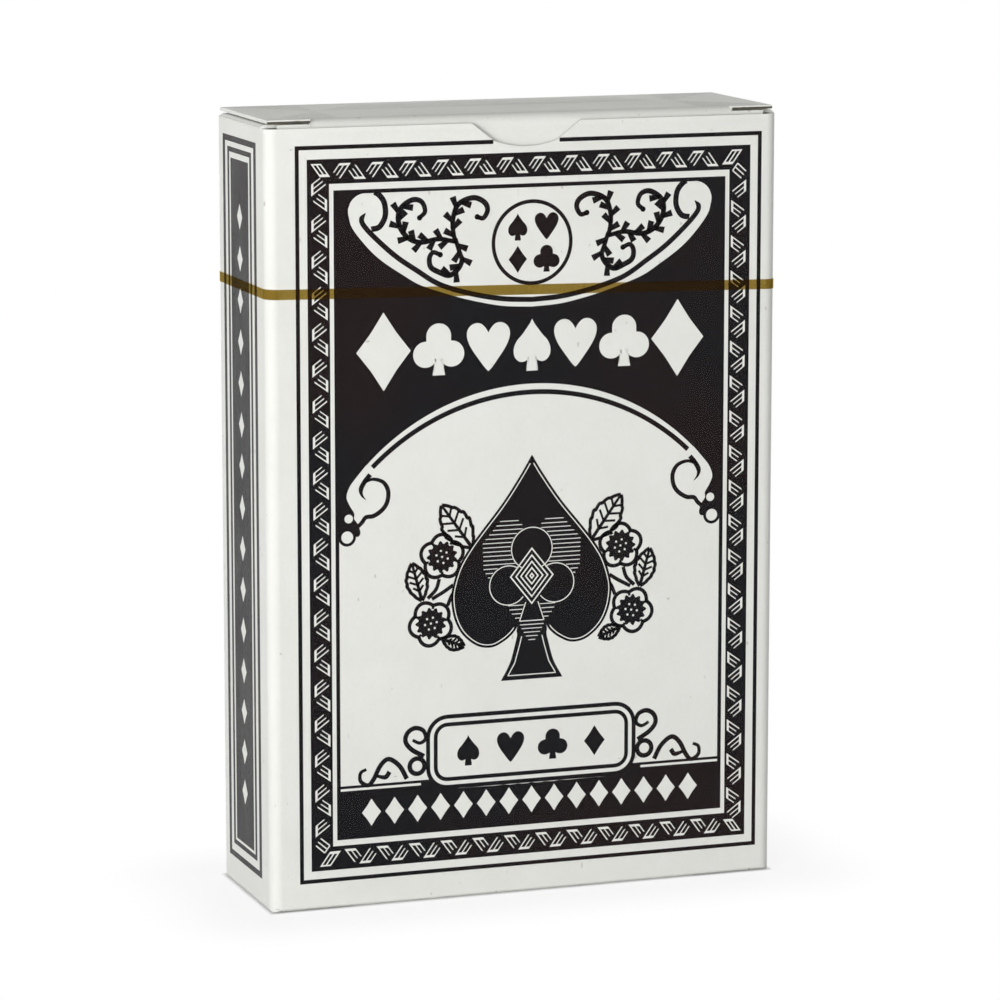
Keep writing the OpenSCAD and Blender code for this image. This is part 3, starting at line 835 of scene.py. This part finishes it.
# %% Vines
STEM_WIDTHS = [0.52, 0.62, 0.64, 0.5]
VINE_STEMS = [
    [(9.3, 76.5), (9.6, 78.4), (9.4, 79.9), (8.75, 81.0), (7.1, 81.55), (5.8, 81.0), (5.4, 80.1),
     (5.9, 79.2), (6.65, 79.35)],
    [(9.36, 76.64), (11.3, 77.0), (13.2, 76.7), (14.5, 77.0), (15.6, 78.0), (16.1, 79.4), (15.75, 80.7),
     (14.4, 81.56), (13.3, 81.3), (12.9, 80.2), (13.55, 79.5)],
    [(9.3, 77.0), (8.74, 75.3), (8.5, 74.4), (9.0, 73.45), (10.0, 72.8), (11.2, 73.2), (12.2, 73.8),
     (12.4, 74.8), (11.95, 75.5), (11.1, 75.2)],
]
LEAF_LENGTH, LEAF_BASE, LEAF_TIP, LEAF_LEAN = 1.3, 0.48, 0.78, math.radians(50)
LEAF_PITCH, LEAF_SHARES, CURL_TIP = 0.82, [0.53, 0.68, 0.55], 0.32


def leaves_on(path, share):
    """Blunt leaves along the first share of a path, at even distances, leaning off it to both sides in turn.
    A leaf is a short strip that widens from its base to its tip."""
    reach = np.r_[0, np.cumsum(np.linalg.norm(np.diff(path, axis=0), axis=1))]
    at = np.arange(LEAF_PITCH, share * reach[-1], LEAF_PITCH)
    base = np.stack([np.interp(at, reach, path[:, i]) for i in (0, 1)], -1)
    ahead = np.stack([np.interp(at + LINE_END, reach, path[:, i]) for i in (0, 1)], -1) - base
    turn = np.arctan2(ahead[:, 1], ahead[:, 0]) + LEAF_LEAN * np.where(np.arange(len(at)) % 2, 1, -1)
    along = directions(turn)
    across = along[:, ::-1] * [-1, 1]
    leaf = ((0, LEAF_BASE), (LEAF_LENGTH, LEAF_TIP))
    ends = [(base + along * far, across * wide / 2) for far, wide in leaf]
    return np.stack([np.stack([point - half, point + half], 1) for point, half in ends], axis=1)


vine_paths = [curve(points) for points in VINE_STEMS]
for path, share in zip(vine_paths, LEAF_SHARES):
    line_sheets += mirrored([tapered(path, STEM_WIDTHS), leaves_on(path, share), disc(path[-1], CURL_TIP)])
print(len(vine_paths), "stems a side")

# %% [markdown]
# A row of white suit signs crosses the black field between lunette and arch, growing towards both ends
# where the field widens. A second row of white lozenges runs along the black foot band. All are copies of
# the four signs, so only their places and heights are given.

# %% Rows of signs
ROW_SIGNS = [("spade", 0, 6.0), ("heart", 5.3, 5.6), ("club", 11.3, 6.0), ("lozenge", 17.9, 9.0)]
ROW_HEIGHT = 64.4
FOOT_SIGNS = np.linspace(-19.6, 19.6, 15)
FOOT_SIGN_HEIGHT, FOOT_SIGN_LEVEL = 3.2, 11.0
FOOT_LINE_LEVEL, FOOT_LINE, FOOT_LINE_START, FOOT_LINE_END = 13.7, 0.28, 13.6, 23.3

bare_sheets += [suit(kind, side * u, ROW_HEIGHT, height) for kind, u, height in ROW_SIGNS for side in (-1, 1)
                if u or side > 0]
bare_sheets += [moved(suit("lozenge", 0, FOOT_SIGN_LEVEL, FOOT_SIGN_HEIGHT), FOOT_SIGNS, 0)]
bare_sheets += mirrored([bars(FOOT_LINE_START, FOOT_LINE_LEVEL, FOOT_LINE_END, FOOT_LINE_LEVEL + FOOT_LINE)])
print(len(ROW_SIGNS) * 2 - 1, "signs on the field")

# %% [markdown]
# The large spade is the ornament's heart. Its right half is the strip between the outline and a spine on
# the middle line, and the stem is a second strip, so no cell folds over. White lines then go on top: an
# inline, a hatch that stops short of a club, and a lozenge of five nested outlines.

# %% Spade
SPADE_SIDE = [(0.03, 51.6), (1.37, 49.4), (3.58, 46.2), (6.2, 43.0), (7.6, 41.2), (8.9, 39.1), (9.7, 36.7),
              (9.85, 35.0), (9.45, 32.9), (8.45, 31.05), (6.7, 29.65), (4.9, 29.35), (3.36, 30.0),
              (2.3, 30.85), (1.75, 31.6)]
SPADE_SPINE_LOW = 35.0
STEM_SIDE = [(0.05, 35.0), (1.75, 31.6), (1.8, 30.6), (2.06, 29.5), (2.7, 27.3), (3.8, 25.3)]
STEM_LINE = [(1.25, 30.4), (1.5, 29.4), (2.1, 27.3), (2.95, 25.85), (0, 25.85)]
INLINE_DEPTH, INLINE_WIDTH, INLINE_START, INLINE_END = 0.34, 0.115, 3, 3
HATCH_LEVELS = np.arange(44.0, 37.4, -0.5)
HATCH_REACH = [(37.4, 5.3), (38.4, 5.9), (41.6, 6.0), (44.0, 3.9)]
HATCH_BITE = [(42.6, 0), (43.2, 0.9), (44.0, 1.6)]
HATCH_WIDTH = 0.095
LOW_HATCH = [(34.05, 1.0, 2.9), (33.55, 1.15, 2.75), (33.05, 1.3, 2.45), (32.55, 1.45, 2.05)]
STEM_HATCH = [(31.7, 1.45), (31.25, 1.25), (30.8, 1.0), (30.35, 0.72), (29.9, 0.42)]
CLUB_TOP, CLUB_TOP_RADIUS, CLUB_TOP_ARC = (0, 40.66), 2.5, (-62, 242)
CLUB_LOBE, CLUB_LOBE_RADIUS, CLUB_LOBE_ARC = (2.88, 36.5), 2.3, (-142, 122)
CLUB_BASE = [(0.75, 34.4), (1.5, 32.2), (0, 32.2)]
NEST_MIDDLE, NEST_HALF_WIDTH, NEST_HALF_HEIGHT = (0, 37.46), 2.7, 3.36
NEST_SCALES, NEST_LINE = [1.0, 0.76, 0.54, 0.32, 0.12], 0.076


def half_chord(centre, radius):
    """Half the width of a circle at each level of the hatch, with room for one line round it."""
    return np.sqrt(np.maximum((radius + HATCH_WIDTH)**2 - (HATCH_LEVELS - centre[1])**2, 0))


outline = curve(SPADE_SIDE)
spine = np.stack([np.zeros(len(outline)), np.linspace(outline[0, 1], SPADE_SPINE_LOW, len(outline))], -1)
stem = curve(STEM_SIDE)
line_sheets += mirrored([between(outline, spine)]) + [between(stem, stem * [-1, 1])]

slope = np.gradient(outline, axis=0)
inward = slope[:, ::-1] * [1, -1] / np.linalg.norm(slope, axis=1, keepdims=True)
inline = (outline + inward * INLINE_DEPTH)[INLINE_START:-INLINE_END]
light_sheets += mirrored([ribbon(inline, INLINE_WIDTH)])

reach = np.interp(HATCH_LEVELS, *np.array(HATCH_REACH).T)
top_cut, lobe_cut = half_chord(CLUB_TOP, CLUB_TOP_RADIUS), half_chord(CLUB_LOBE, CLUB_LOBE_RADIUS)
begin = np.maximum(top_cut, np.where(lobe_cut > 0, CLUB_LOBE[0] + lobe_cut, 0))
begin = np.maximum(begin, np.interp(HATCH_LEVELS, *np.array(HATCH_BITE).T)) + LINE_END
shown = begin < reach
level = HATCH_LEVELS[shown]
light_sheets += mirrored([bars(begin[shown], level, reach[shown], level + HATCH_WIDTH)])
level, left, right = np.array(LOW_HATCH).T
light_sheets += mirrored([bars(left, level, right, level + HATCH_WIDTH)])
level, half = np.array(STEM_HATCH).T
light_sheets += [bars(-half, level, half, level + HATCH_WIDTH)]
light_sheets += [ribbon(arc(CLUB_TOP, CLUB_TOP_RADIUS, *CLUB_TOP_ARC), INLINE_WIDTH)]
half_lines = [arc(CLUB_LOBE, CLUB_LOBE_RADIUS, *CLUB_LOBE_ARC), resampled(CLUB_BASE), resampled(STEM_LINE)]
light_sheets += mirrored([ribbon(path, INLINE_WIDTH) for path in half_lines])
nest = np.array([(0, 1), (1, 0), (0, -1), (-1, 0), (0, 1)]) * [NEST_HALF_WIDTH, NEST_HALF_HEIGHT]
for scale in NEST_SCALES:
    corners, inside = nest * scale + NEST_MIDDLE, nest * (scale - NEST_LINE) + NEST_MIDDLE
    light_sheets += [between(corners, inside)]
print("spade with", int(shown.sum()), "hatch lines a side")

# %% [markdown]
# Two five-petalled flowers and three toothed leaves stand on each side of the spade. They could be traced
# point by point, but both follow simple rules: a flower's outline dips five times in one turn, and a leaf's
# half width is a half sine with a small saw-tooth on it.

# %% Flowers and leaves
FLOWERS = [(10.95, 40.35, 18), (12.33, 32.65, -10)]
PETALS, PETAL_RADIUS, PETAL_DIP, PETAL_STEPS = 5, 2.62, 0.2, 161
HEART_RADIUS, HEART_TEETH, HEART_TOOTH, TOOTH_STEPS = 1.7, 13, 0.2, 12
FLOWER_LINE, SPOKE_LINE, SPOKE_SHARE = 0.44, 0.31, 0.86
DOT_COUNT, DOT_REACH, DOT_RADIUS = 6, 0.72, 0.13
TWIGS = [[(9.6, 37.0), (10.7, 36.3), (12.2, 35.5)], [(11.3, 37.8), (11.7, 36.6), (12.7, 35.6)],
         [(8.9, 36.2), (9.7, 35.9), (10.3, 34.6)]]
LEAVES = [((7.3, 41.2), (11.0, 46.35), 1.7), ((13.4, 35.4), (14.6, 39.8), 1.25),
          ((10.9, 30.7), (8.3, 29.7), 0.8)]
LEAF_TEETH, LEAF_POWER, LEAF_BODY, LEAF_TOOTH, LEAF_LINE = 6, 0.85, 0.9, 0.16, 0.4
LEAF_VEINS, VEIN_RUN, VEIN_SHARE, VEIN_LINE = np.array([0.25, 0.42, 0.58, 0.74]), 0.13, 0.72, 0.27
MIDRIB_WIDTHS, MIDRIB_STEPS = [0.44, 0.3], 9


def petals(centre, turn):
    """Closed outline that dips once between two petals: radius (1 - dip (1 - |cos(petals/2 angle)|))."""
    angle = np.linspace(0, 2 * math.pi, PETAL_STEPS)[:-1]
    reach = PETAL_RADIUS * (1 - PETAL_DIP * (1 - np.abs(np.cos(PETALS / 2 * angle))))
    return centre + reach[:, None] * directions(angle + math.radians(turn))


def serrated(centre):
    """Closed outline of a flower's heart: radius plus tooth times the cosine of teeth times the angle."""
    angle = np.linspace(0, 2 * math.pi, TOOTH_STEPS * HEART_TEETH + 1)[:-1]
    reach = HEART_RADIUS + HEART_TOOTH * np.cos(HEART_TEETH * angle)
    return centre + reach[:, None] * directions(angle)


def toothed_leaf(base, tip, half):
    """Outline, midrib and veins of a leaf: its half width is half times a power of sin(pi t), times a
    saw-tooth that rises once for each tooth."""
    base, tip = np.array(base), np.array(tip)
    run = tip - base
    across = np.array([-run[1], run[0]]) / np.linalg.norm(run)
    t = np.linspace(0, 1, TOOTH_STEPS * LEAF_TEETH + 1)
    saw = LEAF_BODY + LEAF_TOOTH * ((LEAF_TEETH * t) % 1)
    wide = half * np.sin(math.pi * t) ** LEAF_POWER * saw + LINE_END
    vein_reach = half * VEIN_SHARE * np.sin(math.pi * LEAF_VEINS)
    sheets = [tapered(np.linspace(base, tip, MIDRIB_STEPS), MIDRIB_WIDTHS)]
    for sign in (1, -1):
        side = base + run * t[:, None] + across * (sign * wide)[:, None]
        vein_ends = base + run * (LEAF_VEINS + VEIN_RUN)[:, None] + across * (sign * vein_reach)[:, None]
        sheets += [ribbon(side, LEAF_LINE), strokes(base + run * LEAF_VEINS[:, None], vein_ends, VEIN_LINE)]
    return sheets


for u, v, turn in FLOWERS:
    centre = np.array([u, v])
    ray = directions(np.radians(turn + (180 + 360 * np.arange(PETALS)) / PETALS))
    dots = centre + DOT_REACH * directions(np.radians(turn + 360 / DOT_COUNT * np.arange(DOT_COUNT)))
    line_sheets += mirrored([
        ribbon(petals(centre, turn), FLOWER_LINE, closed=True),
        star(serrated(centre), centre),
        strokes(centre + ray * HEART_RADIUS, centre + ray * PETAL_RADIUS * SPOKE_SHARE, SPOKE_LINE)])
    light_sheets += mirrored([moved(disc((0, 0), DOT_RADIUS), *dots.T), disc(centre, DOT_RADIUS)])
for base, tip, half in LEAVES:
    line_sheets += mirrored(toothed_leaf(base, tip, half))
line_sheets += mirrored([ribbon(curve(twig), FLOWER_LINE) for twig in TWIGS])
print(len(FLOWERS) * 2, "flowers,", len(LEAVES) * 2, "leaves")

# %% [markdown]
# Below the spade a cartouche with a double line overlaps the foot band, with scrolls at both ends and the
# four suits inside. Its plate and its lines could each be drawn by hand, but one closed path with quarter
# circles at its corners, moved inwards, serves all three.

# %% Cartouche and scrolls
CARTOUCHE_HALF, CARTOUCHE_LOW, CARTOUCHE_HIGH, CARTOUCHE_CORNER = 12.95, 13.0, 21.8, 2.6
CARTOUCHE_LINES = [(0.24, 0.49), (1.17, 0.47)]
CARTOUCHE_SIGNS, CARTOUCHE_SIGN_HEIGHT = [-7.8, -2.6, 2.6, 7.8], 3.6
SCROLLS = [
    [(13.2, 17.1), (14.7, 18.0), (15.45, 19.0), (15.2, 20.0), (14.3, 20.5), (13.3, 20.15), (13.0, 19.2),
     (13.7, 18.7), (14.6, 19.1)],
    [(15.3, 14.6), (16.2, 16.2), (17.5, 17.1), (18.5, 16.4), (19.3, 14.9), (20.0, 14.2), (20.9, 14.75),
     (20.9, 15.7), (20.2, 16.1)],
    [(17.4, 15.6), (17.9, 15.0), (18.9, 15.2)],
]
SCROLL_RING, SCROLL_RING_RADIUS = (14.05, 16.0), 0.9
SCROLL_LINE, SCROLL_WIDTHS = 0.56, [0.56, 0.56, 0.36]
CORNER_STEPS = 9


def rounded_path(half, low, high, radius, inset):
    """Closed path round a rectangle with quarter circles at its corners, moved inwards by the inset."""
    u, bottom, top = half - radius, low + radius, high - radius
    centres = [(u, top), (-u, top), (-u, bottom), (u, bottom)]
    return np.vstack([arc(centre, radius - inset, 90 * turn, 90 * turn + 90, CORNER_STEPS)
                      for turn, centre in enumerate(centres)])


cartouche = (CARTOUCHE_HALF, CARTOUCHE_LOW, CARTOUCHE_HIGH, CARTOUCHE_CORNER)
middle = np.array([0, (CARTOUCHE_LOW + CARTOUCHE_HIGH) / 2])
bare_sheets += [star(resampled(rounded_path(*cartouche, 0)), middle)]
for inset, width in CARTOUCHE_LINES:
    line_sheets.append(ribbon(rounded_path(*cartouche, inset), width, closed=True))
line_sheets += [suit(kind, u, middle[1], CARTOUCHE_SIGN_HEIGHT) for kind, u in zip(SUITS, CARTOUCHE_SIGNS)]
line_sheets += mirrored([tapered(curve(points), SCROLL_WIDTHS) for points in SCROLLS])
scroll_ring = circle(SCROLL_RING, SCROLL_RING_RADIUS, ARC_STEPS)
line_sheets += mirrored([ribbon(scroll_ring, SCROLL_LINE, closed=True)])

lay_print("front_ink", "front", INK_LAYER, ink_sheets, black_ink)
lay_print("front_bare_board", "front", BARE_LAYER, bare_sheets, coated_board)
lay_print("front_fine_lines", "front", FINE_LAYER, line_sheets, black_ink)
lay_print("front_light_lines", "front", TOP_LAYER, light_sheets, coated_board)

# %% [markdown]
# Each side carries two nested frame lines round a black bar with a column of pale lozenges. The right side,
# which the photograph does not show, repeats the left as its mirror image. Each panel has its own axes, so
# one list of plates serves both.

# %% Side prints
SIDE_FRAMES = [(6.6, 3.2, 88.2, 0.95, 0.7), (4.75, 4.85, 86.9, 0.72, 0.58)]
SIDE_FILL_HALF, SIDE_FILL_LOW, SIDE_FILL_HIGH = 3.5, 5.75, 85.65
SIDE_SIGNS, SIDE_SIGN_HEIGHT = np.linspace(12.0, 79.2, 15), 3.0

side_ink = [ring_bars(half, low, high, half - upright, low + level, high - level)
            for half, low, high, upright, level in SIDE_FRAMES]
side_ink.append(bars(-SIDE_FILL_HALF, SIDE_FILL_LOW, SIDE_FILL_HALF, SIDE_FILL_HIGH))
side_signs = [moved(suit("lozenge", 0, 0, SIDE_SIGN_HEIGHT), 0, SIDE_SIGNS)]
for side in ("left", "right"):
    lay_print(side + "_ink", side, INK_LAYER, side_ink, black_ink)
    lay_print(side + "_bare_board", side, BARE_LAYER, side_signs, coated_board)

# %% [markdown]
# The back repeats the frame line and the band of combs round a black panel with a lattice of white lines. A
# line of the lattice is cut where it meets the panel's edge, by clipping its run in u against both limits.

# %% Back print
LATTICE_PITCH, LATTICE_LINE, LATTICE_SLOPE, LATTICE_MARGIN = 4.4, 0.3, 1.6, 0.9


def lattice(half, low, high, slope):
    """Parallel lines of one slope inside a rectangle; each keeps the u for which v stays inside."""
    middle = (low + high) / 2
    span = abs(slope) * half + (high - low) / 2
    offset = np.arange(-span + LATTICE_PITCH / 2, span, LATTICE_PITCH) + middle
    ends = np.sort(np.stack([(low - offset) / slope, (high - offset) / slope], -1), axis=1)
    ends = np.clip(ends, -half, half)
    keep = ends[:, 1] - ends[:, 0] > LATTICE_LINE
    points = [np.stack([ends[keep, i], offset[keep] + slope * ends[keep, i]], -1) for i in (0, 1)]
    return strokes(points[0], points[1], LATTICE_LINE)


back_area = (PANEL_HALF - LATTICE_MARGIN, PANEL_LOW + LATTICE_MARGIN, PANEL_HIGH - LATTICE_MARGIN)
back_panel = bars(-PANEL_HALF, PANEL_LOW, PANEL_HALF, PANEL_HIGH)
lay_print("back_ink", "back", INK_LAYER, [band, frame_line, back_panel], black_ink)
back_bare = comb_band() + [lattice(*back_area, LATTICE_SLOPE)]
lay_print("back_bare_board", "back", BARE_LAYER, back_bare, coated_board)
lay_print("back_light_lines", "back", FINE_LAYER, [lattice(*back_area, -LATTICE_SLOPE)], coated_board)
border = [back_area[0] - LATTICE_LINE, back_area[1] + LATTICE_LINE, back_area[2] - LATTICE_LINE]
lay_print("back_border", "back", TOP_LAYER, [ring_bars(*back_area, *border)], coated_board)

# %% [markdown]
# The film is a sleeve a few hundredths of a millimetre off the board, folded like an envelope on both ends.
# It could be draped as a cloth, but film pulled tight has plain faces, so both are closed shells. The
# sleeve's outline runs round the carton with its rounded folds, and each height repeats it. On an end, a
# tuck from each short side lies under two flaps that narrow towards the middle.

# %% Film
FILM_SKIN, FILM_ROUND = 0.015, 1.35
FOLD_START, FOLD_END, FOLD_GAP = 0.6, 6.4, 0.004

outer, inner = (rounded_path(film_high[0], -film_high[1], film_high[1], FILM_ROUND, inset)
                for inset in (0, FILM_SKIN))
profile = [(inner, film_high[2]), (inner, film_low[2]), (outer, film_low[2]), (outer, film_high[2])]
film_points = np.concatenate([np.c_[path, np.full(len(path), z)] for path, z in profile])
index = np.arange(len(film_points)).reshape(len(profile), -1)
index = np.pad(index, ((0, 1), (0, 1)), mode="wrap")
film_quads = grid_quads(index[None])
film_sleeve = add_mesh("film_sleeve", film_points, film_quads, clear_film)
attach(film_sleeve, "carton")
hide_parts("film_wrap")
print("film sleeve", len(film_quads), "faces")


def film_end(name, low, high, body, node):
    """Envelope fold on an end: a tuck from each short side, as long as half the depth, and on it a flap from
    the back and a longer one from the front, both narrowing at 45 degrees."""
    middle, half = (low[:2] + high[:2]) / 2, (high[:2] - low[:2]) / 2
    reach = half[0] - half[1]
    tucks = bars([-half[0], reach], -half[1], [-reach, half[0]], half[1])

    def flap(side, deep):
        """Strip from a long side that loses as much width at each end as it is deep."""
        ends = [[half[0], half[1]], [half[0] - deep, half[1] - deep]]
        return np.array([[[-u, side * v], [u, side * v]] for u, v in ends])[None]

    layers = [tucks, flap(1, half[1] - FOLD_START), flap(-1, half[1] + FOLD_END)]
    levels = np.linspace(low[2] + FOLD_GAP, high[2] - FOLD_GAP, 2 * len(layers))
    made = [plates([sheet], *levels[2 * i:2 * i + 2]) for i, sheet in enumerate(layers)]
    shift = np.cumsum([0] + [len(points) for points, quads in made])
    all_points = np.concatenate([points for points, quads in made]) + [*middle, 0]
    all_quads = np.concatenate([quads + start for (points, quads), start in zip(made, shift)])
    piece = add_mesh(name, all_points, all_quads, folded_film)
    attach(piece, body)
    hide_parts(node)
    print(name, len(all_quads), "faces")


film_end("film_lid_fold", *box_mm("film_top"), "lid", "film_top")
film_end("film_foot_fold", *box_mm("film_base"), "carton", "film_base")
